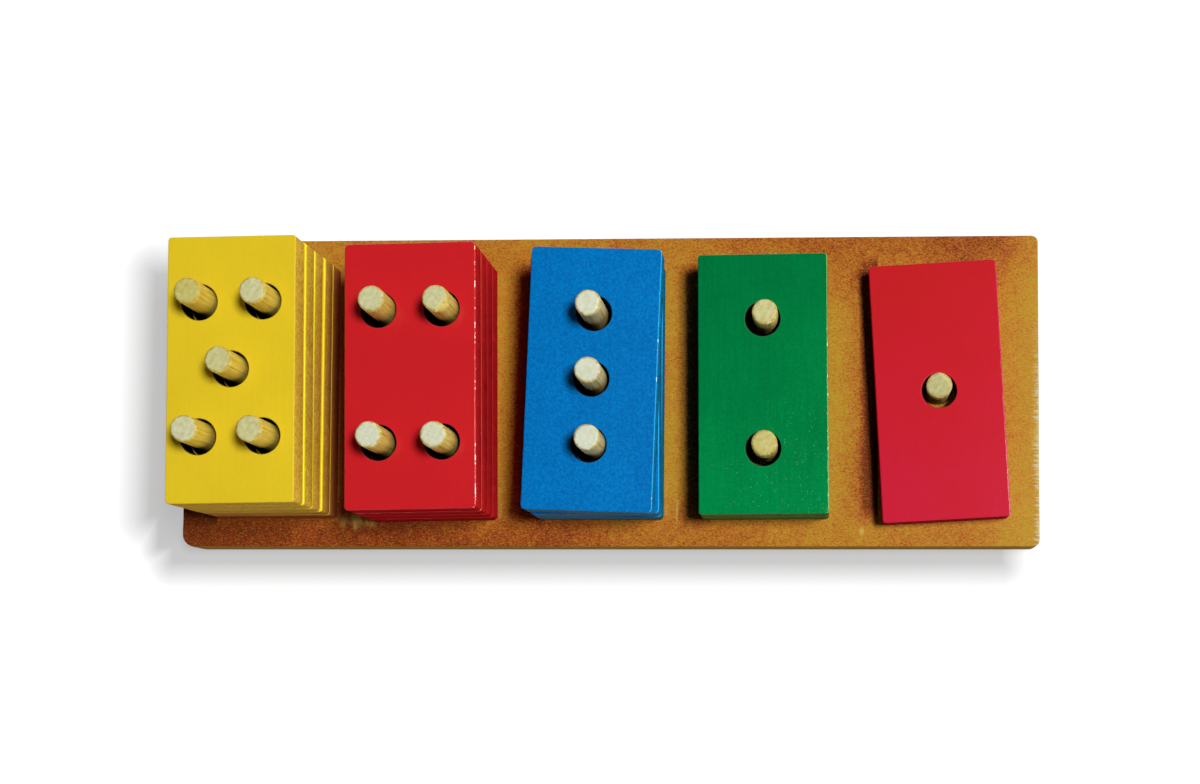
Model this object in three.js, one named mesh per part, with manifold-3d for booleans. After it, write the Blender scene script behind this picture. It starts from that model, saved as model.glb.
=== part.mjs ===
// Counting pegboard: a varnished board carries five groups of upright dowel pegs, five pegs at the left down
// to one at the right. On each group lies a stack of painted wooden plates, as many plates as pegs, each
// drilled to drop loosely over its pegs. Millimetres, +Z up, origin under the middle of the board.
import * as THREE from 'three';
import { mergeVertices } from 'three/addons/utils/BufferGeometryUtils.js';
import loadManifold from 'manifold-3d';

const wasm = await loadManifold();
wasm.setup();

// Board: a plank with eased edges. Its front left corner is worn rounder than the other three.
const BOARD_THICKNESS = 12;
const BOARD_CORNER = 2.5;
const BOARD_WORN_CORNER = 5;
const BOARD_EASE = 0.8;
const BOARD_END_MARGIN = 13.75;
const BOARD_SIDE_MARGIN = 11.5;

// Plates: the same blank for every colour, drilled to match the pegs under it
const PLATE_WIDTH = 50;
const PLATE_LENGTH = 101;
const PLATE_THICKNESS = 9;
const PLATE_CORNER = 1.2;
const PLATE_EASE = 0.6;

// Row of stacks along the board, a little left of its middle
const STACK_GAP = 16;
const ROW_OFFSET = -1.9;

// Pegs: dowels glued into blind sockets, standing proud of the top plate of their stack by the stack's rise
const PEG_DIAMETER = 10;
const PEG_EASE = 0.9;
const SOCKET_FLOOR = 4;
const GLUE_GAP = 0.1;

// Holes: spacing between hole centres, and the play all round a peg that lets a plate drop on easily
const HOLE_ACROSS = 24;
const HOLE_ALONG = 50.4;
const HOLE_PLAY = 1.75;

// Fineness of round faces
const ROUND_SIDES = 24;
const CORNER_STEPS = 2;

// Worked out from the driving sizes
const STACK_PITCH = PLATE_WIDTH + STACK_GAP;
const BOARD_WIDTH = PLATE_LENGTH + 2 * BOARD_SIDE_MARGIN;
const SOCKET_DEPTH = BOARD_THICKNESS - SOCKET_FLOOR;
const CUT_OVERRUN = PLATE_THICKNESS;

// Hole and peg patterns, as on the faces of a die
const side = HOLE_ACROSS / 2;
const end = HOLE_ALONG / 2;
const corners = [[-side, end], [side, end], [-side, -end], [side, -end]];
const middle = [0, 0];
const column = [[0, end], [0, -end]];

// Paints and finishes
const paint = (color) => new THREE.MeshStandardMaterial({ color, roughness: 0.45, metalness: 0 });
const yellowPaint = paint(0xddbf25);
const redPaint = paint(0xc62127);
const bluePaint = paint(0x0272b9);
const greenPaint = paint(0x037a3e);
const crimsonPaint = paint(0xc92132);
const bareDowel = new THREE.MeshStandardMaterial({ color: 0xd0cba0, roughness: 0.8, metalness: 0 });
const varnish = new THREE.MeshStandardMaterial({ color: 0xb07330, roughness: 0.35, metalness: 0 });

// The stacks from left to right. rise is how far the pegs stand out of the stack, and drift how far they were
// drilled off the even row. lies holds how each plate dropped, from the lowest up: its slip across, along and
// round the farthest hole, each a share of the play, so that no plate bears on its pegs. A plate on one peg
// turns freely instead.
const STACKS = [
  {
    name: 'five', material: yellowPaint, holes: [...corners, middle], narrower: 1.8, shorter: 1,
    rise: 13, drift: [0.9, 0.6], freeTurn: 0,
    lies: [
      [0.37, -0.57, 0.06], [0.3, -0.53, 0.09], [-0.1, -0.5, 0.1], [-0.07, -0.46, 0.2], [-0.36, -0.42, 0.22],
    ],
  },
  {
    name: 'four', material: redPaint, holes: corners, narrower: 0.3, shorter: 0,
    rise: 13, drift: [-0.6, -0.2], freeTurn: 0,
    lies: [[-0.34, -0.59, 0.24], [-0.35, -0.53, 0.25], [-0.33, -0.48, 0.28], [-0.38, -0.42, 0.28]],
  },
  {
    name: 'three', material: bluePaint, holes: [...column, middle], narrower: 0, shorter: 0,
    rise: 13, drift: [0.2, 0.2], freeTurn: 0,
    lies: [[-0.34, -0.56, 0], [-0.44, -0.42, 0.11], [-0.28, -0.42, -0.46]],
  },
  {
    name: 'two', material: greenPaint, holes: column, narrower: 0, shorter: 0,
    rise: 6, drift: [-0.66, 0.6], freeTurn: 0,
    lies: [[-0.4, -0.76, 0.1], [-0.43, -0.72, 0.14]],
  },
  {
    name: 'one', material: crimsonPaint, holes: [middle], narrower: 0.4, shorter: 0,
    rise: 5, drift: [0.65, -0.4], freeTurn: 3.15,
    lies: [[0.12, -0.84, 0]],
  },
];
const BOARD_LENGTH = STACKS.length * STACK_PITCH - STACK_GAP + 2 * BOARD_END_MARGIN;

// Keep only positions, so that shared corners become one vertex and the surface is closed
function closed(geometry) {
  geometry.deleteAttribute('normal');
  geometry.deleteAttribute('uv');
  return mergeVertices(geometry);
}

function toSolid(geometry) {
  const merged = closed(geometry);
  return new wasm.Manifold(new wasm.Mesh({
    numProp: 3,
    vertProperties: new Float32Array(merged.getAttribute('position').array),
    triVerts: new Uint32Array(merged.index.array),
  }));
}

function toGeometry(solid) {
  const mesh = solid.getMesh();
  const geometry = new THREE.BufferGeometry();
  geometry.setAttribute('position', new THREE.BufferAttribute(new Float32Array(mesh.vertProperties), 3));
  geometry.setIndex(new THREE.BufferAttribute(new Uint32Array(mesh.triVerts), 1));
  geometry.computeVertexNormals();
  return geometry;
}

// Rectangle with its own radius at each corner: front left, front right, back right, back left
function roundedRectangle(width, length, radii) {
  const x = width / 2;
  const y = length / 2;
  const [frontLeft, frontRight, backRight, backLeft] = radii;
  const shape = new THREE.Shape();
  shape.moveTo(-x + frontLeft, -y);
  shape.lineTo(x - frontRight, -y);
  shape.absarc(x - frontRight, -y + frontRight, frontRight, -Math.PI / 2, 0, false);
  shape.lineTo(x, y - backRight);
  shape.absarc(x - backRight, y - backRight, backRight, 0, Math.PI / 2, false);
  shape.lineTo(-x + backLeft, y);
  shape.absarc(-x + backLeft, y - backLeft, backLeft, Math.PI / 2, Math.PI, false);
  shape.lineTo(-x, -y + frontLeft);
  shape.absarc(-x + frontLeft, -y + frontLeft, frontLeft, Math.PI, 1.5 * Math.PI, false);
  return shape;
}

// Flat blank lying on z = 0, with its upper and lower edges eased by a small bevel
function easedBlank(outline, thickness, ease) {
  const blank = new THREE.ExtrudeGeometry(outline, {
    depth: thickness - 2 * ease,
    bevelEnabled: true,
    bevelThickness: ease,
    bevelSize: ease,
    bevelOffset: -ease,
    bevelSegments: 1,
    curveSegments: CORNER_STEPS,
  });
  blank.translate(0, 0, ease);
  return blank;
}

// Upright cutter whose flats touch the true round hole, so the faceted hole keeps its full bore
function holeCutter(diameter, bottom, top, [x, y]) {
  const radius = diameter / 2 / Math.cos(Math.PI / ROUND_SIDES);
  const cutter = new THREE.CylinderGeometry(radius, radius, top - bottom, ROUND_SIDES);
  cutter.rotateX(Math.PI / 2);
  cutter.translate(x, y, (bottom + top) / 2);
  return toSolid(cutter);
}

function drill(solid, cutters) {
  return cutters.reduce((left, cutter) => left.subtract(cutter), solid);
}

function plateGeometry(stack) {
  const outline = roundedRectangle(
    PLATE_WIDTH - stack.narrower,
    PLATE_LENGTH - stack.shorter,
    Array(4).fill(PLATE_CORNER),
  );
  const blank = toSolid(easedBlank(outline, PLATE_THICKNESS, PLATE_EASE));
  const bore = PEG_DIAMETER + 2 * HOLE_PLAY;
  const top = PLATE_THICKNESS + CUT_OVERRUN;
  return toGeometry(drill(blank, stack.holes.map((hole) => holeCutter(bore, -CUT_OVERRUN, top, hole))));
}

// Dowel standing on z = 0, its upper rim eased
function pegGeometry(length) {
  const radius = PEG_DIAMETER / 2;
  const rim = radius - PEG_EASE;
  const profile = [[0, 0], [radius, 0], [radius, length - PEG_EASE], [rim, length], [0, length]];
  const dowel = new THREE.LatheGeometry(profile.map(([r, h]) => new THREE.Vector2(r, h)), ROUND_SIDES);
  dowel.rotateX(Math.PI / 2);
  const geometry = closed(dowel);
  geometry.computeVertexNormals();
  return geometry;
}

function boardGeometry(pegPlaces) {
  const radii = [BOARD_WORN_CORNER, BOARD_CORNER, BOARD_CORNER, BOARD_CORNER];
  const outline = roundedRectangle(BOARD_LENGTH, BOARD_WIDTH, radii);
  const plank = toSolid(easedBlank(outline, BOARD_THICKNESS, BOARD_EASE));
  const socket = PEG_DIAMETER + 2 * GLUE_GAP;
  const top = BOARD_THICKNESS + CUT_OVERRUN;
  return toGeometry(drill(plank, pegPlaces.map((place) => holeCutter(socket, SOCKET_FLOOR, top, place))));
}

// Middle of a stack's pegs on the board
function stackPlace(stack, index) {
  const along = ROW_OFFSET + (index - (STACKS.length - 1) / 2) * STACK_PITCH;
  return [along + stack.drift[0], stack.drift[1]];
}

// Where one plate of a stack lies on its pegs
function plateSlip(stack, level) {
  const [across, along, round] = stack.lies[level];
  const reach = Math.max(...stack.holes.map(([x, y]) => Math.hypot(x, y)));
  const turn = reach > 0 ? Math.atan(round * HOLE_PLAY / reach) : THREE.MathUtils.degToRad(stack.freeTurn);
  return { x: across * HOLE_PLAY, y: along * HOLE_PLAY, turn };
}

function addMesh(group, name, geometry, material) {
  const mesh = new THREE.Mesh(geometry, material);
  mesh.name = name;
  group.add(mesh);
  return mesh;
}

const pegboard = new THREE.Group();
const allPegs = STACKS.flatMap((stack, index) => {
  const [x, y] = stackPlace(stack, index);
  return stack.holes.map((hole) => [x + hole[0], y + hole[1]]);
});
addMesh(pegboard, 'board', boardGeometry(allPegs), varnish);

STACKS.forEach((stack, index) => {
  const count = stack.holes.length;
  const group = new THREE.Group();
  group.position.set(...stackPlace(stack, index), BOARD_THICKNESS);
  pegboard.add(group);

  const peg = pegGeometry(SOCKET_DEPTH + count * PLATE_THICKNESS + stack.rise);
  stack.holes.forEach(([x, y], i) => {
    addMesh(group, `${stack.name}_peg_${i + 1}`, peg, bareDowel).position.set(x, y, -SOCKET_DEPTH);
  });

  const plate = plateGeometry(stack);
  for (let level = 0; level < count; level += 1) {
    const slip = plateSlip(stack, level);
    const mesh = addMesh(group, `${stack.name}_plate_${level + 1}`, plate, stack.material);
    mesh.position.set(slip.x, slip.y, level * PLATE_THICKNESS);
    mesh.rotation.z = slip.turn;
  }
});

export default pegboard;
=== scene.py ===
import math

import bmesh
import bpy
from mathutils import Matrix, Vector


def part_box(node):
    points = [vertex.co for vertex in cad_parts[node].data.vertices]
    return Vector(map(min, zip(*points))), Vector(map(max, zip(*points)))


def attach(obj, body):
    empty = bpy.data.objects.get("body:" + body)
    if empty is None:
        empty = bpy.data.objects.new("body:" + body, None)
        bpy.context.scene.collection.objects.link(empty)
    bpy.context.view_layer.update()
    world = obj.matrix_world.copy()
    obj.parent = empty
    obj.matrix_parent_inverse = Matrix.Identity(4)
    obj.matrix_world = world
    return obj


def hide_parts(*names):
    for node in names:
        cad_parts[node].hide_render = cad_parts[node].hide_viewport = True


# A counting pegboard: a varnished board with five groups of dowel pegs, and on each group a stack of
# painted wooden plates. Metres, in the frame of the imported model. Every piece takes its place from its CAD
# node.
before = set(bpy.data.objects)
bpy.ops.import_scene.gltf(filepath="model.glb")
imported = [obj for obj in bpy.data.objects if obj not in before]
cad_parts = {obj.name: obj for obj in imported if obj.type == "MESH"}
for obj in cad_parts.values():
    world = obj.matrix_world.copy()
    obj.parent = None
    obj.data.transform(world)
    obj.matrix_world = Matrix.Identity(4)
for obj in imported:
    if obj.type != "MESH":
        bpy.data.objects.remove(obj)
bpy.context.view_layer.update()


# Board
# A plank of fibreboard under orange-brown varnish, its corners rounded and its edges eased with sandpaper.
# The pegs stand in blind sockets drilled in its top, and the front left corner has been knocked rounder in
# use.
MM = 0.001
BOARD_CORNER = 2.5 * MM
BOARD_WORN_CORNER = 5 * MM
BOARD_EASE = 0.5 * MM
BOARD_DENT = 0.15 * MM
BOARD_DENT_SIZE = 5 * MM
BOARD_POINTS = 1.2 * MM
SOCKET_FLOOR = 4 * MM
SOCKET_BORE = 10.2 * MM
# Where the varnish has gone pale: place from the middle of the board, reach to the right and to the back,
# in mm, and how far it has worn
BOARD_WORN_SPOTS = [(-100, -51, 15, 7, 1.0), (-42.4, -45, 3, 13, 0.7), (24, -43, 2.5, 22, 0.7),
                    (28, -48, 1.5, 12, 0.7), (101, -56, 2.5, 3, 0.8), (171, -22, 7, 42, 0.8)]
# The stacks stand at an even pitch on the board, each this wide
STACK_PITCH = 66 * MM
STACK_WIDTH = 50 * MM
board_low, board_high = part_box("board")
first_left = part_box("five_plate_1")[0].x
first_right = first_left + STACK_WIDTH
next_left = first_left + STACK_PITCH
# Grain of the board, streaks in its pale spots, and scratches
FLAKE = 0.45 * MM
LUMP = 3.2 * MM
CLOUD = 30 * MM
WORN_STREAK = 1.6 * MM
SCRATCH = 0.7 * MM
# Tone of the bare varnish, and how much of the tone the flakes, lumps and clouds make
BOARD_TONE = -0.385
FLAKE_TONE = 1.05
LUMP_TONE = 0.3
CLOUD_TONE = 0.5
# Marks between the stacks, painted shade among them, are full within the first distance of the middle line
# and end at the second. The last gap ends under the last stack. A strip this wide at the right of each stack
# is lighter and yellower, from wear and painted light bounced off the stack's side.
GAP_INSIDE = 46 * MM
GAP_OPEN = 54 * MM
LAST_GAP_END = 130 * MM
RUBBED_STRIP = 8 * MM
# What changes over the board: along which axis, from where to where, and the value at either place
BOARD_ZONES = {
    "back": ("Y", 35 * MM, 58 * MM, 0.0, 1.0),
    "back_tone": ("X", 0.0, 140 * MM, -0.02, -0.22),
    "front": ("Y", -40 * MM, -56 * MM, 0.0, 1.0),
    # painted shade: in the front strip the board is darker and redder toward the left, where the stacks
    # shade it
    "front_left_shade": ("X", -160 * MM, 100 * MM, -0.50, 0.0),
    "right_tone": ("X", 150 * MM, 170 * MM, 0.0, 0.18),
    # reach of each stack's shadow on the board, shorter as the stacks get lower to the right; it sizes the
    # painted shade beside them
    "shadow_reach": ("X", -110 * MM, 100 * MM, 12 * MM, 5.5 * MM),
    "scratched": ("X", board_high.x - 7 * MM, board_high.x, 0.0, 1.0),
    "toward_front": ("Y", 30 * MM, -5 * MM, 0.0, 1.0),
}


def linear(code):
    """Turn an sRGB hex colour such as "#b07330" into linear red, green, blue and full alpha."""
    shares = [int(code[i:i + 2], 16) / 255 for i in (1, 3, 5)]
    return [c / 12.92 if c <= 0.04045 else ((c + 0.055) / 1.055) ** 2.4 for c in shares] + [1.0]


def add_node(tree, kind, feeds=None, stops=None, **settings):
    """Add a node with its settings. A feed is a socket or a node to link from, or a plain value. Stops are
    the places and colours of a colour ramp."""
    node = tree.nodes.new(kind)
    for name, value in settings.items():
        setattr(node, name, value)
    for socket, feed in (feeds or {}).items():
        if isinstance(feed, bpy.types.Node):
            feed = feed.outputs[0]
        if isinstance(feed, bpy.types.NodeSocket):
            tree.links.new(feed, node.inputs[socket])
        else:
            node.inputs[socket].default_value = feed
    if stops:
        ramp = node.color_ramp
        while len(ramp.elements) < len(stops):
            ramp.elements.new(1.0)
        for element, (place, code) in zip(ramp.elements, stops):
            element.position = place
            element.color = linear(code)
    return node


def start_tree(name, inputs):
    """Start a Geometry Nodes tree with named inputs, given as name and socket kind, and one output."""
    tree = bpy.data.node_groups.new(name, "GeometryNodeTree")
    for label, kind in inputs.items():
        tree.interface.new_socket(label, in_out="INPUT", socket_type="NodeSocket" + kind)
    tree.interface.new_socket("Piece", in_out="OUTPUT", socket_type="NodeSocketGeometry")
    return tree, add_node(tree, "NodeGroupInput").outputs


def end_tree(tree, shape, finish, side_finish):
    """Close a tree: smooth faces, no instances left, one finish on the faces that look up or down and one
    on the sides."""
    smooth = add_node(tree, "GeometryNodeSetShadeSmooth", {"Geometry": shape})
    plain = add_node(tree, "GeometryNodeRealizeInstances", {"Geometry": smooth})
    coated = add_node(tree, "GeometryNodeSetMaterial", {"Geometry": plain, "Material": finish})
    facing = add_node(tree, "ShaderNodeSeparateXYZ", {0: add_node(tree, "GeometryNodeInputNormal")})
    upright = add_node(tree, "ShaderNodeMath", {0: facing.outputs["Z"]}, operation="ABSOLUTE")
    is_side = add_node(tree, "FunctionNodeCompare", {0: upright, 1: 0.5}, operation="LESS_THAN")
    coated = add_node(tree, "GeometryNodeSetMaterial",
                      {"Geometry": coated, "Selection": is_side, "Material": side_finish})
    add_node(tree, "NodeGroupOutput", {0: coated})


def edge_profile(tree, low, high, low_reach, high_reach, low_ease, high_ease, steps):
    """Draw the cross-section of an eased edge: in along the lower face, up the wall, in along the upper
    face. X runs out of the wall and Y down, as a profile lies on a path that runs round a face. The eased
    corners carry an attribute, arris, that is 1 there and 0 on the flats."""
    index = add_node(tree, "GeometryNodeInputIndex")
    at_end = add_node(tree, "FunctionNodeCompare", {2: index, 3: 0}, data_type="INT", operation="EQUAL")
    at_start = add_node(tree, "FunctionNodeCompare", {2: index, 3: 3}, data_type="INT", operation="EQUAL")
    upper = add_node(tree, "FunctionNodeCompare", {2: index, 3: 1}, data_type="INT",
                     operation="GREATER_THAN")
    low_x = add_node(tree, "GeometryNodeSwitch", {0: at_end, 1: 0.0, 2: low_reach}, input_type="FLOAT")
    x = add_node(tree, "GeometryNodeSwitch", {0: at_start, 1: low_x, 2: high_reach}, input_type="FLOAT")
    z = add_node(tree, "GeometryNodeSwitch", {0: upper, 1: low, 2: high}, input_type="FLOAT")
    y = add_node(tree, "ShaderNodeMath", {0: z, 1: -1.0}, operation="MULTIPLY")
    place = add_node(tree, "ShaderNodeCombineXYZ", {"X": x, "Y": y})
    line = add_node(tree, "GeometryNodeMeshLine", {"Count": 4})
    thread = add_node(tree, "GeometryNodeMeshToCurve", {"Mesh": line})
    bent = add_node(tree, "GeometryNodeSetPosition", {"Geometry": thread, "Position": place})
    ease = add_node(tree, "GeometryNodeSwitch", {0: upper, 1: low_ease, 2: high_ease}, input_type="FLOAT")
    soft = add_node(tree, "GeometryNodeFilletCurve",
                    {"Curve": bent, "Count": steps, "Radius": ease, "Limit Radius": True}, mode="POLY")
    spot = add_node(tree, "ShaderNodeSeparateXYZ", {0: add_node(tree, "GeometryNodeInputPosition")})
    down = add_node(tree, "ShaderNodeMath", {0: spot.outputs["Y"], 1: -1.0}, operation="MULTIPLY")
    from_low = add_node(tree, "ShaderNodeMath", {0: down, 1: low}, operation="SUBTRACT")
    from_high = add_node(tree, "ShaderNodeMath", {0: high, 1: down}, operation="SUBTRACT")
    nearest = add_node(tree, "ShaderNodeMath", {0: from_low, 1: from_high}, operation="MINIMUM")
    off_wall = add_node(tree, "ShaderNodeMath", {0: spot.outputs["X"]}, operation="ABSOLUTE")
    both = add_node(tree, "ShaderNodeMath", {0: nearest, 1: off_wall}, operation="ADD")
    rounded = add_node(tree, "ShaderNodeMath", {0: high_ease, 1: 0.98}, operation="MULTIPLY")
    is_arris = add_node(tree, "FunctionNodeCompare", {0: both, 1: rounded}, operation="LESS_THAN")
    return add_node(tree, "GeometryNodeStoreNamedAttribute",
                    {"Geometry": soft, "Name": "arris", "Value": is_arris}, data_type="FLOAT",
                    domain="POINT")


def knocked(tree, shape, dent, dent_size, seed):
    """Knock small dents into the eased edges, deeper in some places than in others."""
    noise = add_node(tree, "ShaderNodeTexNoise",
                     {"W": seed, "Scale": add_node(tree, "ShaderNodeMath", {0: 1.0, 1: dent_size},
                                                   operation="DIVIDE"),
                      "Detail": 2.0}, noise_dimensions="4D")
    deep = add_node(tree, "ShaderNodeMapRange", {"Value": noise, "From Min": 0.48, "From Max": 0.78})
    arris = add_node(tree, "GeometryNodeInputNamedAttribute", {"Name": "arris"}, data_type="FLOAT")
    here = add_node(tree, "ShaderNodeMath", {0: deep, 1: arris}, operation="MULTIPLY")
    inward = add_node(tree, "ShaderNodeMath", {0: here, 1: dent}, operation="MULTIPLY")
    back = add_node(tree, "ShaderNodeMath", {0: inward, 1: -1.0}, operation="MULTIPLY")
    push = add_node(tree, "ShaderNodeVectorMath",
                    {0: add_node(tree, "GeometryNodeInputNormal"), "Scale": back}, operation="SCALE")
    return add_node(tree, "GeometryNodeSetPosition", {"Geometry": shape, "Offset": push})


def drilled_blank():
    """Tree for a flat blank with eased edges, drilled at the points that it is given: the board and the
    plates. A hole whose floor is above the lower face is a blind socket."""
    tree, given = start_tree("drilled_blank", {
        "Hole centres": "Geometry", "Width": "Float", "Length": "Float", "Thickness": "Float",
        "Corner": "Float", "Worn corner": "Float", "Ease": "Float", "Bore": "Float", "Hole floor": "Float",
        "Point spacing": "Float", "Dent": "Float", "Dent size": "Float", "Wear": "Float", "Seed": "Int",
        "Finish": "Material", "Side finish": "Material"})
    high = given["Thickness"]
    land = add_node(tree, "ShaderNodeMath", {0: given["Ease"], 1: -1.7}, operation="MULTIPLY")

    rectangle = add_node(tree, "GeometryNodeCurvePrimitiveQuadrilateral",
                         {"Width": given["Width"], "Height": given["Length"]})
    spot = add_node(tree, "ShaderNodeSeparateXYZ", {0: add_node(tree, "GeometryNodeInputPosition")})
    left = add_node(tree, "FunctionNodeCompare", {0: spot.outputs["X"], 1: 0.0}, operation="LESS_THAN")
    front = add_node(tree, "FunctionNodeCompare", {0: spot.outputs["Y"], 1: 0.0}, operation="LESS_THAN")
    worn = add_node(tree, "FunctionNodeBooleanMath", {0: left, 1: front}, operation="AND")
    radius = add_node(tree, "GeometryNodeSwitch", {0: worn, 1: given["Corner"], 2: given["Worn corner"]},
                      input_type="FLOAT")
    outline = add_node(tree, "GeometryNodeFilletCurve",
                       {"Curve": rectangle, "Count": 8, "Radius": radius, "Limit Radius": True},
                       mode="POLY")
    outline = add_node(tree, "GeometryNodeResampleCurve",
                       {"Curve": outline, "Length": given["Point spacing"]}, mode="LENGTH")
    outline = add_node(tree, "GeometryNodeSetCurveNormal", {"Curve": outline}, mode="Z_UP")
    edge = edge_profile(tree, 0.0, high, land, land, given["Ease"], given["Ease"], 4)
    sides = add_node(tree, "GeometryNodeCurveToMesh", {"Curve": outline, "Profile Curve": edge})
    sides = add_node(tree, "GeometryNodeFlipFaces", {"Mesh": sides})

    half_bore = add_node(tree, "ShaderNodeMath", {0: given["Bore"], 1: 0.5}, operation="MULTIPLY")
    blind = add_node(tree, "FunctionNodeCompare", {0: given["Hole floor"], 1: 0.0},
                     operation="GREATER_THAN")
    floor_reach = add_node(tree, "ShaderNodeMath", {0: half_bore, 1: 0.8}, operation="MULTIPLY")
    reach = add_node(tree, "GeometryNodeSwitch", {0: blind, 1: land, 2: floor_reach}, input_type="FLOAT")
    ring = add_node(tree, "GeometryNodeCurvePrimitiveCircle", {"Resolution": 48, "Radius": half_bore})
    ring = add_node(tree, "GeometryNodeReverseCurve", {"Curve": ring})
    rings = add_node(tree, "GeometryNodeInstanceOnPoints",
                     {"Points": given["Hole centres"], "Instance": ring})
    rings = add_node(tree, "GeometryNodeRealizeInstances", {"Geometry": rings})
    rings = add_node(tree, "GeometryNodeSetCurveNormal", {"Curve": rings}, mode="Z_UP")
    rim = edge_profile(tree, given["Hole floor"], high, reach, land, given["Ease"], given["Ease"], 3)
    bores = add_node(tree, "GeometryNodeCurveToMesh", {"Curve": rings, "Profile Curve": rim})
    bores = add_node(tree, "GeometryNodeFlipFaces", {"Mesh": bores})
    bores = add_node(tree, "GeometryNodeStoreNamedAttribute",
                     {"Geometry": bores, "Name": "bore", "Value": 1.0}, data_type="FLOAT", domain="POINT")

    walls = add_node(tree, "GeometryNodeJoinGeometry", {0: sides})
    tree.links.new(bores.outputs[0], walls.inputs[0])
    neighbours = add_node(tree, "GeometryNodeInputMeshEdgeNeighbors")
    is_open = add_node(tree, "FunctionNodeCompare", {2: neighbours, 3: 1}, data_type="INT",
                       operation="EQUAL")
    height = add_node(tree, "ShaderNodeSeparateXYZ", {0: add_node(tree, "GeometryNodeInputPosition")})
    body = add_node(tree, "GeometryNodeJoinGeometry", {0: walls})
    for level in (0.0, given["Hole floor"], high):
        here = add_node(tree, "FunctionNodeCompare",
                        {0: height.outputs["Z"], 1: level, "Epsilon": 0.05 * MM}, operation="EQUAL")
        loop = add_node(tree, "FunctionNodeBooleanMath", {0: is_open, 1: here}, operation="AND")
        thread = add_node(tree, "GeometryNodeMeshToCurve", {"Mesh": walls, "Selection": loop})
        face = add_node(tree, "GeometryNodeFillCurve", {"Curve": thread}, mode="TRIANGLES")
        lift = add_node(tree, "ShaderNodeCombineXYZ", {"Z": level})
        face = add_node(tree, "GeometryNodeSetPosition", {"Geometry": face, "Offset": lift})
        tree.links.new(face.outputs[0], body.inputs[0])
    whole = add_node(tree, "GeometryNodeMergeByDistance", {"Geometry": body, "Distance": 0.005 * MM})
    used = knocked(tree, whole, given["Dent"], given["Dent size"], given["Seed"])
    rise = add_node(tree, "ShaderNodeMath", {0: height.outputs["Z"], 1: high}, operation="DIVIDE")
    for name, value in (("wear", given["Wear"]), ("rise", rise)):
        used = add_node(tree, "GeometryNodeStoreNamedAttribute",
                        {"Geometry": used, "Name": name, "Value": value}, data_type="FLOAT", domain="POINT")
    end_tree(tree, used, given["Finish"], given["Side finish"])
    return tree


def make_piece(name, tree, points, values, place):
    """Run a tree on a few points and keep its result as a plain mesh. The piece stays at the origin, and
    its mesh holds its place."""
    seeds = bpy.data.meshes.new(name)
    seeds.from_pydata(points, [], [])
    piece = bpy.data.objects.new(name, seeds)
    bpy.context.scene.collection.objects.link(piece)
    modifier = piece.modifiers.new("shape", "NODES")
    modifier.node_group = tree
    for item in tree.interface.items_tree:
        if item.in_out == "INPUT" and item.name in values:
            modifier[item.identifier] = values[item.name]
    shape = bpy.data.meshes.new_from_object(piece.evaluated_get(bpy.context.evaluated_depsgraph_get()))
    piece.modifiers.remove(modifier)
    shape.transform(place)
    skin = bmesh.new()
    skin.from_mesh(shape)
    bmesh.ops.dissolve_degenerate(skin, dist=0.001 * MM, edges=skin.edges)
    bmesh.ops.recalc_face_normals(skin, faces=skin.faces)
    skin.to_mesh(shape)
    skin.free()
    shape.name = name
    piece.data = shape
    bpy.data.meshes.remove(seeds)
    return piece


def start_material(name, roughness, specular):
    """Start a material on a Principled surface. Returns its tree, the surface, and the piece's own
    coordinates."""
    material = bpy.data.materials.new(name)
    material.use_nodes = True
    tree = material.node_tree
    surface = tree.nodes["Principled BSDF"]
    surface.inputs["Roughness"].default_value = roughness
    surface.inputs["Specular IOR Level"].default_value = specular
    own = add_node(tree, "ShaderNodeTexCoord").outputs["Object"]
    return material, tree, surface, own


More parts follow.
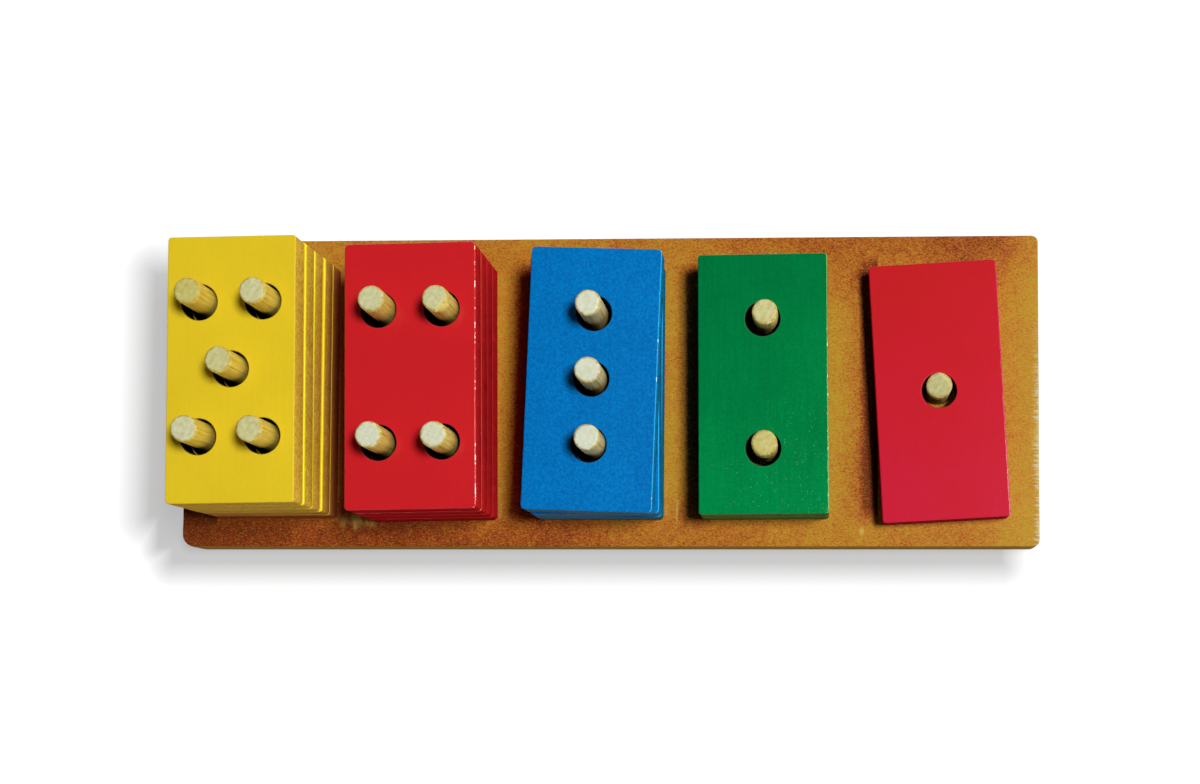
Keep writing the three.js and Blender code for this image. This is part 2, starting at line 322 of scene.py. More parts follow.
def varnished_fibreboard():
    """Pressed fibreboard under a worn oil varnish: a fine speckle of red, orange and olive flakes, redder
    at the back and yellower at the right. Painted shade makes the front left darker and redder. Beside each
    stack a strip on the right is lighter and yellower, from wear and painted light bounced off the stack's
    side, and on the left, over the reach of the stack's shadow, painted shade reddens and darkens it. In a
    few spots at the front the varnish has gone pale, and fine pale scratches run in over the right-hand end."""
    material, tree, surface, own = start_material("varnished_fibreboard", 0.38, 0.03)
    flake_space = add_node(tree, "ShaderNodeMapping", {0: own, "Scale": (0.55, 1.0, 1.0)})
    flakes = add_node(tree, "ShaderNodeTexNoise", {0: flake_space, "Scale": 1 / FLAKE, "Detail": 2.0})
    lumps = add_node(tree, "ShaderNodeTexNoise",
                     {0: own, "Scale": 1 / LUMP, "Detail": 3.0, "Roughness": 0.6})
    cloud = add_node(tree, "ShaderNodeTexNoise", {0: own, "Scale": 1 / CLOUD, "Detail": 2.0})
    spot = add_node(tree, "ShaderNodeSeparateXYZ", {0: own})
    zone = {}
    for name, (axis, start, end, low, high) in BOARD_ZONES.items():
        zone[name] = add_node(tree, "ShaderNodeMapRange",
                              {"Value": spot.outputs[axis], "From Min": start, "From Max": end,
                               "To Min": low, "To Max": high})

    # Between the stacks, the same pattern repeats along the row
    along = add_node(tree, "ShaderNodeMath", {0: spot.outputs["X"], 1: next_left, 2: first_left},
                     operation="WRAP")
    outward = add_node(tree, "ShaderNodeMath", {0: spot.outputs["Y"]}, operation="ABSOLUTE")
    between = add_node(tree, "ShaderNodeMapRange",
                       {"Value": outward, "From Min": GAP_OPEN, "From Max": GAP_INSIDE})
    in_row = add_node(tree, "ShaderNodeMath", {0: spot.outputs["X"], 1: LAST_GAP_END},
                      operation="LESS_THAN")
    between = add_node(tree, "ShaderNodeMath", {0: between, 1: in_row}, operation="MULTIPLY")
    # A strip at the right of each stack is lighter and yellower: wear, and painted light bounced off the
    # stack's side
    rubbed = add_node(tree, "ShaderNodeMapRange",
                      {"Value": along, "From Min": first_right, "From Max": first_right + RUBBED_STRIP,
                       "To Min": 0.06, "To Max": -0.16})
    # Painted shade: over the reach of the next stack's shadow the board is reddened, and nearest the stack
    # darkened to near black
    to_next = add_node(tree, "ShaderNodeMath", {0: next_left, 1: along}, operation="SUBTRACT")
    shadow_depth = add_node(tree, "ShaderNodeMath", {0: to_next, 1: zone["shadow_reach"]}, operation="DIVIDE")
    shade_reddening = add_node(tree, "ShaderNodeMapRange",
                        {"Value": shadow_depth, "From Min": 1.4, "From Max": 0.9, "To Max": -0.40})
    painted_shade = add_node(tree, "ShaderNodeMapRange",
                     {"Value": shadow_depth, "From Min": 0.5, "From Max": 0.2, "To Max": 0.7})
    painted_shade = add_node(tree, "ShaderNodeMath", {0: painted_shade, 1: between}, operation="MULTIPLY")

    # Tone from dark red at 0 to yellow at 1
    tone = BOARD_TONE
    for where, shift in ((zone["back"], zone["back_tone"]), (zone["front"], zone["front_left_shade"]),
                         (1.0, zone["right_tone"]), (between, rubbed), (between, shade_reddening),
                         (flakes.outputs["Fac"], FLAKE_TONE), (lumps, LUMP_TONE), (cloud, CLOUD_TONE)):
        tone = add_node(tree, "ShaderNodeMath", {0: where, 1: shift, 2: tone}, operation="MULTIPLY_ADD")
    wood = add_node(tree, "ShaderNodeValToRGB", {0: tone}, stops=[
        (0.02, "#6a2a14"), (0.20, "#8a3c1a"), (0.38, "#a85e22"), (0.50, "#b57528"), (0.62, "#b7852a"),
        (0.80, "#b8962c")])
    kinds = add_node(tree, "ShaderNodeSeparateXYZ", {0: flakes.outputs["Color"]})
    red_flakes, olive_flakes = [
        add_node(tree, "ShaderNodeMapRange",
                 {"Value": kinds.outputs[axis], "From Min": 0.54, "From Max": 0.70, "To Max": 0.55})
        for axis in ("Y", "Z")]

    # Pale spots, broken up by streaks from front to back
    worn = 0.0
    for x, y, reach_x, reach_y, share in BOARD_WORN_SPOTS:
        away = add_node(tree, "ShaderNodeVectorMath", {0: own, 1: (x * MM, y * MM, 0.0)},
                        operation="SUBTRACT")
        away = add_node(tree, "ShaderNodeVectorMath",
                        {0: away, 1: (1 / (reach_x * MM), 1 / (reach_y * MM), 0.0)}, operation="MULTIPLY")
        away = add_node(tree, "ShaderNodeVectorMath", {0: away}, operation="LENGTH")
        here = add_node(tree, "ShaderNodeMapRange",
                        {"Value": away.outputs["Value"], "From Min": 1.0, "From Max": 0.0, "To Max": share})
        worn = add_node(tree, "ShaderNodeMath", {0: here, 1: worn}, operation="MAXIMUM")
    streak_space = add_node(tree, "ShaderNodeMapping", {0: own, "Scale": (1.0, 0.3, 1.0)})
    streaks = add_node(tree, "ShaderNodeTexNoise",
                       {0: streak_space, "Scale": 1 / WORN_STREAK, "Detail": 2.0})
    worn = add_node(tree, "ShaderNodeMath", {0: worn, 1: streaks}, operation="MULTIPLY")
    worn = add_node(tree, "ShaderNodeMapRange",
                    {"Value": worn, "From Min": 0.18, "From Max": 0.55, "To Max": 0.8})

    # Sawn edges, scratches on the top of the right-hand end, and painted shade in the sockets
    geometry = add_node(tree, "ShaderNodeNewGeometry")
    normal = add_node(tree, "ShaderNodeSeparateXYZ", {0: geometry.outputs["Normal"]})
    upright = add_node(tree, "ShaderNodeMath", {0: normal.outputs["Z"]}, operation="ABSOLUTE")
    is_side = add_node(tree, "ShaderNodeMapRange", {"Value": upright, "From Min": 0.8, "From Max": 0.4})
    scratch_space = add_node(tree, "ShaderNodeMapping", {0: own, "Scale": (0.18, 1.0, 1.0)})
    scratches = add_node(tree, "ShaderNodeTexNoise",
                         {0: scratch_space, "Scale": 1 / SCRATCH, "Detail": 2.0})
    scuff = add_node(tree, "ShaderNodeMath", {0: scratches, 1: zone["scratched"]}, operation="MULTIPLY")
    scuff = add_node(tree, "ShaderNodeMapRange", {"Value": scuff, "From Min": 0.36, "From Max": 0.56})
    for share in (zone["toward_front"], upright):
        scuff = add_node(tree, "ShaderNodeMath", {0: scuff, 1: share}, operation="MULTIPLY")
    bore = add_node(tree, "ShaderNodeAttribute", attribute_name="bore")
    painted_socket_shade = add_node(tree, "ShaderNodeMath", {0: bore.outputs["Fac"], 1: is_side}, operation="MULTIPLY")
    colour = wood
    # Painted shade darkens the board in the stacks' shadows and in the sockets
    for share, code in ((red_flakes, "#b03e1e"), (olive_flakes, "#98882c"), (worn, "#cfb45e"),
                        (painted_shade, "#1e0e05"), (is_side, "#8f6c24"), (scuff, "#c9c09a"), (painted_socket_shade, "#3a2410")):
        colour = add_node(tree, "ShaderNodeMix", {0: share, 6: colour, 7: linear(code)},
                          data_type="RGBA").outputs[2]
    tree.links.new(colour, surface.inputs["Base Color"])

    gloss = add_node(tree, "ShaderNodeMapRange", {"Value": lumps, "To Min": 0.28, "To Max": 0.48})
    matt = add_node(tree, "ShaderNodeMix", {0: is_side, 2: gloss, 3: 0.75}, data_type="FLOAT")
    tree.links.new(matt.outputs[0], surface.inputs["Roughness"])
    relief = add_node(tree, "ShaderNodeMath", {0: flakes.outputs["Fac"], 1: 0.5, 2: lumps},
                      operation="MULTIPLY_ADD")
    bump = add_node(tree, "ShaderNodeBump", {"Height": relief, "Strength": 0.25, "Distance": 0.08 * MM})
    tree.links.new(bump.outputs[0], surface.inputs["Normal"])
    return material


board_middle = (board_low + board_high) / 2
stacks = {"five": 5, "four": 4, "three": 3, "two": 2, "one": 1}
peg_nodes = [f"{stack}_peg_{i + 1}" for stack, count in stacks.items() for i in range(count)]
peg_places = {node: (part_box(node)[0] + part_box(node)[1]) / 2 for node in peg_nodes}
blank_tree = drilled_blank()
varnish = varnished_fibreboard()
board_place = Matrix.Translation((board_middle.x, board_middle.y, board_low.z))
board = make_piece(
    "varnished_board", blank_tree,
    [(spot.x - board_middle.x, spot.y - board_middle.y, 0) for spot in peg_places.values()],
    {"Width": board_high.x - board_low.x, "Length": board_high.y - board_low.y,
     "Thickness": board_high.z - board_low.z, "Corner": BOARD_CORNER, "Worn corner": BOARD_WORN_CORNER,
     "Ease": BOARD_EASE, "Bore": SOCKET_BORE, "Hole floor": SOCKET_FLOOR, "Point spacing": BOARD_POINTS,
     "Dent": BOARD_DENT, "Dent size": BOARD_DENT_SIZE, "Wear": 1.0, "Seed": 3, "Finish": varnish,
     "Side finish": varnish},
    board_place)
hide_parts("board")
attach(board, "base")


# Pegs
# Fifteen lengths of birch dowel, left bare, sawn off and rubbed round at the upper rim, and glued upright
# into the sockets of the board. They stand 5 to 13 mm proud of their stacks.
PEG_RIM = 0.8 * MM
PEG_FOOT_RIM = 0.2 * MM
PEG_CHIP = 0.55 * MM
PEG_CHIP_SIZE = 2.6 * MM
END_GRAIN_DEPTH = 0.08 * MM
FIBRE_DEPTH = 0.10 * MM
# How the saw left each end that isn't square: slope to the right and to the back, and the direction in
# degrees, distance from the middle and slope of a facet that was split or cut off
CUT_ENDS = {
    "four_peg_2": (0.00, 0.02, -35, 2.6 * MM, 1.1),
    "four_peg_1": (0.02, -0.03, -100, 4.0 * MM, 0.8),
    "three_peg_1": (-0.02, 0.00, -15, 3.6 * MM, 0.7),
    "three_peg_2": (0.03, -0.02, -20, 3.7 * MM, 0.6),
    "two_peg_1": (0.00, -0.02, -20, 3.7 * MM, 0.7),
    "one_peg_1": (0.30, 0.04, 40, 3.1 * MM, 0.9),
}
SQUARE_END = (0.0, 0.0, 0, 9 * MM, 0.0)
# How far the end of each peg has bleached, and how far the sides of each group have turned gold: with age,
# and for the pegs of the yellow plates also with painted light reflected from the plates
PALENESS = {
    "five": (0.04, 0.40, 0.50, 0.30, 0.28), "four": (0.45, 0.40, 0.86, 0.80), "three": (0.90, 1.00, 0.95),
    "two": (0.26, 0.08), "one": (0.28,),
}
YELLOWING = {"five": 0.85, "four": 0.60, "three": 0.0, "two": 0.30, "one": 0.25}
# Painted shade on the sides starts this far below the end, and is full at the second distance
PEG_SHADE_START = 7 * MM
PEG_SHADE_FULL = 16 * MM
# Points along the profile of a peg, the length at its end that the saw shaped, and its saw marks and fibres
PEG_POINTS = 0.45 * MM
CUT_REACH = 4 * MM
SAW_MARK = 1.3 * MM
FIBRE_WIDTH = 1.6 * MM
# Grain of the birch: lines along the sides, and growth rings, blotches and pores on the end
GRAIN_LINE = 0.8 * MM
GROWTH_RING = 1.1 * MM
BLOTCH = 1.6 * MM
PORE = 0.55 * MM


def dowel_peg():
    """Tree for one peg: a turned profile swept round, its end roughened by the saw, chipped at the rim,
    sloped and cut back by a facet where it is given one."""
    tree, given = start_tree("dowel_peg", {
        "Start": "Geometry", "Diameter": "Float", "Height": "Float", "Rim": "Float", "Foot rim": "Float",
        "Chip": "Float", "Chip size": "Float", "End grain": "Float", "Fibre": "Float", "Slope": "Vector",
        "Facet direction": "Vector", "Facet distance": "Float", "Facet slope": "Float", "Paleness": "Float",
        "Yellowing": "Float", "Shade start": "Float", "Shade full": "Float", "Seed": "Int", "Finish": "Material"})
    radius = add_node(tree, "ShaderNodeMath", {0: given["Diameter"], 1: 0.5}, operation="MULTIPLY")
    axis = add_node(tree, "ShaderNodeMath", {0: radius, 1: -1.0}, operation="MULTIPLY")
    profile = edge_profile(tree, 0.0, given["Height"], axis, axis, given["Foot rim"], given["Rim"], 5)
    profile = add_node(tree, "GeometryNodeResampleCurve", {"Curve": profile, "Length": PEG_POINTS},
                       mode="LENGTH")
    ring = add_node(tree, "GeometryNodeCurvePrimitiveCircle", {"Resolution": 40, "Radius": radius})
    ring = add_node(tree, "GeometryNodeSetCurveNormal", {"Curve": ring}, mode="Z_UP")
    turned = add_node(tree, "GeometryNodeCurveToMesh", {"Curve": ring, "Profile Curve": profile})
    turned = add_node(tree, "GeometryNodeMergeByDistance", {"Geometry": turned, "Distance": 0.02 * MM})
    turned = add_node(tree, "GeometryNodeFlipFaces", {"Mesh": turned})
    chipped = knocked(tree, turned, given["Chip"], given["Chip size"], given["Seed"])

    place = add_node(tree, "GeometryNodeInputPosition")
    spot = add_node(tree, "ShaderNodeSeparateXYZ", {0: place})
    near_end = add_node(tree, "ShaderNodeMath", {0: given["Height"], 1: CUT_REACH}, operation="SUBTRACT")
    end_share = add_node(tree, "ShaderNodeMapRange",
                         {"Value": spot.outputs["Z"], "From Min": near_end, "From Max": given["Height"]})
    slope = add_node(tree, "ShaderNodeVectorMath", {0: place, 1: given["Slope"]}, operation="DOT_PRODUCT")
    tip = add_node(tree, "ShaderNodeVectorMath", {0: given["Slope"]}, operation="LENGTH")
    most = add_node(tree, "ShaderNodeMath", {0: tip.outputs["Value"], 1: radius}, operation="MULTIPLY")
    sloped = add_node(tree, "ShaderNodeMath", {0: most, 1: slope.outputs["Value"]}, operation="SUBTRACT")
    across = add_node(tree, "ShaderNodeVectorMath", {0: place, 1: given["Facet direction"]},
                      operation="DOT_PRODUCT")
    past = add_node(tree, "ShaderNodeMath", {0: across.outputs["Value"], 1: given["Facet distance"]},
                    operation="SUBTRACT")
    past = add_node(tree, "ShaderNodeMath", {0: past, 1: 0.0}, operation="MAXIMUM")
    facet = add_node(tree, "ShaderNodeMath", {0: past, 1: given["Facet slope"], 2: sloped},
                     operation="MULTIPLY_ADD")
    saw = add_node(tree, "ShaderNodeTexNoise",
                   {0: place, "W": given["Seed"], "Scale": 1 / SAW_MARK, "Detail": 3.0},
                   noise_dimensions="4D")
    rough = add_node(tree, "ShaderNodeMath", {0: saw, 1: given["End grain"], 2: facet},
                     operation="MULTIPLY_ADD")
    drop = add_node(tree, "ShaderNodeMath", {0: rough, 1: end_share}, operation="MULTIPLY")
    drop = add_node(tree, "ShaderNodeMath", {0: drop, 1: -1.0}, operation="MULTIPLY")
    lowered = add_node(tree, "GeometryNodeSetPosition",
                       {"Geometry": chipped, "Offset": add_node(tree, "ShaderNodeCombineXYZ", {"Z": drop})})
    lengthways = add_node(tree, "ShaderNodeVectorMath", {0: place, 1: (1.0, 1.0, 0.07)},
                          operation="MULTIPLY")
    ridges = add_node(tree, "ShaderNodeTexNoise",
                      {0: lengthways, "W": given["Seed"], "Scale": 1 / FIBRE_WIDTH, "Detail": 2.0},
                      noise_dimensions="4D")
    into = add_node(tree, "ShaderNodeMath", {0: ridges, 1: given["Fibre"]}, operation="MULTIPLY")
    into = add_node(tree, "ShaderNodeMath", {0: into, 1: -1.0}, operation="MULTIPLY")
    outward = add_node(tree, "ShaderNodeVectorMath", {0: place, 1: (1.0, 1.0, 0.0)}, operation="MULTIPLY")
    outward = add_node(tree, "ShaderNodeVectorMath", {0: outward}, operation="NORMALIZE")
    thinner = add_node(tree, "ShaderNodeVectorMath", {0: outward, "Scale": into}, operation="SCALE")
    fibrous = add_node(tree, "GeometryNodeSetPosition", {"Geometry": lowered, "Offset": thinner})
    # Painted shade, darker down the side from a given distance below the end, stored for the finish
    below = add_node(tree, "ShaderNodeMath", {0: given["Height"], 1: spot.outputs["Z"]},
                     operation="SUBTRACT")
    painted_shade = add_node(tree, "ShaderNodeMapRange",
                     {"Value": below, "From Min": given["Shade start"], "From Max": given["Shade full"]})
    toned = fibrous
    for name, value in (("paleness", given["Paleness"]), ("yellowing", given["Yellowing"]),
                        ("painted_shade", painted_shade)):
        toned = add_node(tree, "GeometryNodeStoreNamedAttribute",
                         {"Geometry": toned, "Name": name, "Value": value}, data_type="FLOAT",
                         domain="POINT")
    end_tree(tree, toned, given["Finish"], given["Finish"])
    return tree


def bare_birch_dowel():
    """Bare birch, turned to a dowel and sawn off: pale end grain with faint growth rings, yellow blotches
    and open pores, a yellow-brown rim, and warm sides with fine brown lines along the grain. The sides turn
    gold with age and, on the pegs of the yellow plates, with painted light reflected from the plates, and
    painted shade darkens them toward the plates."""
    material, tree, surface, own = start_material("bare_birch_dowel", 0.75, 0.12)
    grain_space = add_node(tree, "ShaderNodeMapping", {0: own, "Scale": (1.0, 1.0, 0.05)})
    lines = add_node(tree, "ShaderNodeTexNoise",
                     {0: grain_space, "Scale": 1 / GRAIN_LINE, "Detail": 4.0, "Roughness": 0.65})
    side = add_node(tree, "ShaderNodeValToRGB", {0: lines}, stops=[
        (0.30, "#8f7338"), (0.42, "#bba563"), (0.55, "#cfbf86"), (0.72, "#ddd3a8")])
    # Gold: yellowed birch and, on the pegs of the yellow plates, painted light reflected from the plates
    gold = add_node(tree, "ShaderNodeValToRGB", {0: lines}, stops=[
        (0.30, "#bc9a2e"), (0.45, "#dabb38"), (0.60, "#e3cc46"), (0.75, "#eadb70")])
    yellowing = add_node(tree, "ShaderNodeAttribute", attribute_name="yellowing")
    side = add_node(tree, "ShaderNodeMix", {0: yellowing.outputs["Fac"], 6: side, 7: gold},
                    data_type="RGBA")
    # Painted shade darkens the sides toward the plates
    painted_shade = add_node(tree, "ShaderNodeAttribute", attribute_name="painted_shade")
    hole_shade = add_node(tree, "ShaderNodeMapRange", {"Value": painted_shade.outputs["Fac"], "To Max": 0.6})
    side = add_node(tree, "ShaderNodeMix", {0: hole_shade, 6: side.outputs[2], 7: linear("#5e431c")},
                    data_type="RGBA")

    blotch = add_node(tree, "ShaderNodeTexNoise", {0: own, "Scale": 1 / BLOTCH, "Detail": 3.0})
    ring_space = add_node(tree, "ShaderNodeMapping", {0: own, "Rotation": (0.0, 0.0, 0.5)})
    rings = add_node(tree, "ShaderNodeTexWave",
                     {0: ring_space, "Scale": 0.5 / GROWTH_RING / 20 * 2 * math.pi, "Distortion": 2.5,
                      "Detail": 2.0, "Detail Scale": 0.6})
    end_tone = add_node(tree, "ShaderNodeMath", {0: rings.outputs["Fac"], 1: 0.05, 2: 0.22},
                        operation="MULTIPLY_ADD")
    end_tone = add_node(tree, "ShaderNodeMath", {0: blotch, 1: 0.5, 2: end_tone}, operation="MULTIPLY_ADD")
    end = add_node(tree, "ShaderNodeValToRGB", {0: end_tone}, stops=[
        (0.32, "#ac9e48"), (0.44, "#bcb056"), (0.56, "#c6be72"), (0.70, "#d2ca90")])
    pale = add_node(tree, "ShaderNodeAttribute", attribute_name="paleness")
    bleached = add_node(tree, "ShaderNodeValToRGB", {0: end_tone}, stops=[
        (0.34, "#c7ccad"), (0.50, "#d3d8c1"), (0.66, "#dfe3d3")])
    end = add_node(tree, "ShaderNodeMix", {0: pale.outputs["Fac"], 6: end, 7: bleached}, data_type="RGBA")
    pores = add_node(tree, "ShaderNodeTexNoise", {0: own, "Scale": 1 / PORE, "Detail": 2.0})
    open_pores = add_node(tree, "ShaderNodeMapRange",
                          {"Value": pores, "From Min": 0.62, "From Max": 0.72, "To Max": 0.25})
    end = add_node(tree, "ShaderNodeMix", {0: open_pores, 6: end.outputs[2], 7: linear("#a39a6e")},
                   data_type="RGBA")

    facing = add_node(tree, "ShaderNodeSeparateXYZ",
                      {0: add_node(tree, "ShaderNodeNewGeometry").outputs["Normal"]})
    is_end = add_node(tree, "ShaderNodeMapRange",
                      {"Value": facing.outputs["Z"], "From Min": 0.6, "From Max": 0.9})
    both = add_node(tree, "ShaderNodeMix", {0: is_end, 6: side.outputs[2], 7: end.outputs[2]},
                    data_type="RGBA")
    arris = add_node(tree, "ShaderNodeAttribute", attribute_name="arris")
    rubbed = add_node(tree, "ShaderNodeMapRange",
                      {"Value": blotch, "From Min": 0.62, "From Max": 0.42, "To Max": 0.75})
    rim = add_node(tree, "ShaderNodeMath", {0: arris.outputs["Fac"], 1: rubbed}, operation="MULTIPLY")
    ringed = add_node(tree, "ShaderNodeMix", {0: rim, 6: both.outputs[2], 7: linear("#b5923c")},
                      data_type="RGBA")
    tree.links.new(ringed.outputs[2], surface.inputs["Base Color"])
    relief = add_node(tree, "ShaderNodeMath", {0: lines, 1: pores}, operation="ADD")
    bump = add_node(tree, "ShaderNodeBump", {"Height": relief, "Strength": 0.35, "Distance": 0.06 * MM})
    tree.links.new(bump.outputs[0], surface.inputs["Normal"])
    return material


peg_tree = dowel_peg()
birch = bare_birch_dowel()
for seed, (node, spot) in enumerate(peg_places.items()):
    low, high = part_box(node)
    group, _, number = node.split("_")
    right, back, angle, distance, steep = CUT_ENDS.get(node, SQUARE_END)
    turn = math.radians(angle)
    peg = make_piece(
        "dowel_" + node, peg_tree, [(0, 0, 0)],
        {"Diameter": high.x - low.x, "Height": high.z - low.z, "Rim": PEG_RIM, "Foot rim": PEG_FOOT_RIM,
         "Chip": PEG_CHIP, "Chip size": PEG_CHIP_SIZE, "End grain": END_GRAIN_DEPTH,
         "Fibre": FIBRE_DEPTH, "Slope": (right, back, 0.0),
         "Facet direction": (math.cos(turn), math.sin(turn), 0.0), "Facet distance": distance,
         "Facet slope": steep, "Paleness": PALENESS[group][int(number) - 1],
         "Yellowing": YELLOWING[group], "Shade start": PEG_SHADE_START, "Shade full": PEG_SHADE_FULL, "Seed": seed + 1,
         "Finish": birch},
        Matrix.Translation((spot.x, spot.y, low.z)))
    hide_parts(node)
    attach(peg, "base")


# Yellow plates
# Five plates of softwood on the five pegs, sanded at the edges and brushed with satin yellow paint. The
# paint is thin and brown on the sawn sides. A bright painted highlight runs along the right-hand arrises,
# and painted shade and reddish painted light darken the sides toward the board.
PLATE_EASE = 0.38 * MM
PLATE_BORE = 13.5 * MM
PLATE_POINTS = 0.8 * MM
PLATE_DENT_SIZE = 3 * MM
HALF_PLATE = 50 * MM
# A painted highlight runs a little down the right-hand sides, and along the arrises of the yellow plates, on
# plates between these shares of the way up a stack
HIGHLIGHT_FROM = 0.3
HIGHLIGHT_TO = 0.9
# Grain of the paint on the faces, and cells that hold one speck each, its size a share of the cell
PAINT_CLOUD = 24 * MM
PAINT_GRAIN = 0.9 * MM
BRUSH_MARK = 1.2 * MM
SPECK_CELL = 0.8 * MM
SPECK_SIZE = 0.2
# Grain of the sides, the heights where painted shade and reddish painted bounce light darken the foot of a
# stack in full and no more, and their colour
SIDE_FIBRE = 0.7 * MM
SIDE_GRAIN = 0.8 * MM
FOOT_SHADE_FULL = 15 * MM
FOOT_SHADE_END = 37 * MM
FOOT_SHADE_CODE = "#96482c"
# Painted shade, in the bores and as a share of it on their rims
HOLE_SHADE_CODE = "#21160c"
RIM_SHADE_SHARE = 0.45


def plate_frame(node):
    """Where a CAD plate lies: its middle on its lower face, its turn, and its width and length."""
    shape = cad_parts[node].data
    corners = {(round(v.co.x, 6), round(v.co.y, 6)) for v in shape.vertices}
    middle = Vector((sum(x for x, y in corners), sum(y for x, y in corners))) / len(corners)
    across = [(x - middle.x, y - middle.y) for x, y in corners]
    xx = sum(x * x for x, y in across)
    yy = sum(y * y for x, y in across)
    xy = sum(x * y for x, y in across)
    turn = 0.5 * math.atan2(-2 * xy, yy - xx)
    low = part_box(node)[0].z
    place = Matrix.Translation((middle.x, middle.y, low)) @ Matrix.Rotation(turn, 4, "Z")
    flat = [place.inverted() @ Vector((x, y, low)) for x, y in corners]
    return place, 2 * max(p.x for p in flat), 2 * max(p.y for p in flat)


def painted_plates(stack, paint, side_paint, dent, corner):
    """Make the plates of one stack, drilled over its pegs, and ride each on its own body."""
    pegs = [peg_places[f"{stack}_peg_{i + 1}"] for i in range(stacks[stack])]
    middle = sum(pegs, Vector()) / len(pegs)
    for level in range(stacks[stack]):
        node = f"{stack}_plate_{level + 1}"
        low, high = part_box(node)
        place, width, length = plate_frame(node)
        plate = make_piece(
            "painted_" + node, blank_tree, [(p.x - middle.x, p.y - middle.y, 0) for p in pegs],
            {"Width": width, "Length": length, "Thickness": high.z - low.z, "Corner": corner,
             "Worn corner": corner, "Ease": PLATE_EASE, "Bore": PLATE_BORE, "Hole floor": 0.0,
             "Point spacing": PLATE_POINTS, "Dent": dent, "Dent size": PLATE_DENT_SIZE,
             "Wear": (level + 1) / stacks[stack], "Seed": 20 * stacks[stack] + level, "Finish": paint,
             "Side finish": side_paint},
            place)
        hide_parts(node)
        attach(plate, node)


